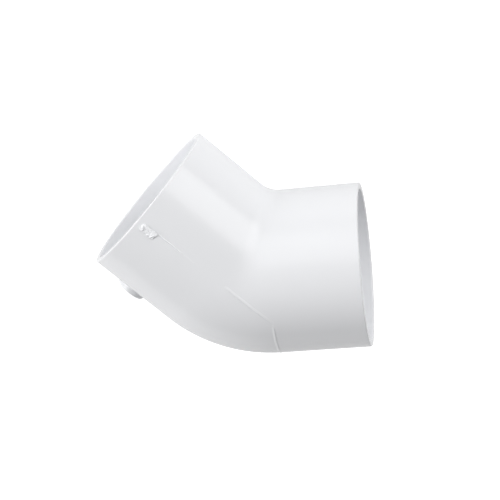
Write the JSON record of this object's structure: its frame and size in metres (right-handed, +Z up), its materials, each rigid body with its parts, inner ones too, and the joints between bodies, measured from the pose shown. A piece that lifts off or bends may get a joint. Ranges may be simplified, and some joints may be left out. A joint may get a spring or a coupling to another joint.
{
  "type": "conduit elbow",
  "caption": "Moulded white 45 degree conduit elbow with a plain socket at each end, a soft mitre at the throat and a round heel.",
  "frame": {"origin": "middle of the right socket's stop face, where the end of the conduit seats", "axes": "+X along the right socket and out of its mouth, +Y to the inside of the bend, XY is the plane of both socket axes, +Z is up, on the side with the gate stub: the elbow lies on its side"},
  "size_m": [0.1075, 0.091, 0.0674],
  "materials": {
    "pvc_body": "semi-gloss moulded",
    "pvc_break": "matt, where the gate broke off",
    "pvc_flash": "thin glossy flash"
  },
  "bodies": {
    "root": {"right_socket": "pvc_body", "left_upper_shell": "pvc_body", "left_lower_shell": "pvc_body", "heel_shell": "pvc_body", "right_stop_ring": "pvc_body", "left_stop_ring": "pvc_body", "gate_stub": "pvc_break", "round_pad": "pvc_body", "near_seam_bead": "pvc_flash", "far_seam_bead": "pvc_flash", "heel_seam_bead": "pvc_flash"}
  },
  "joints": []
}
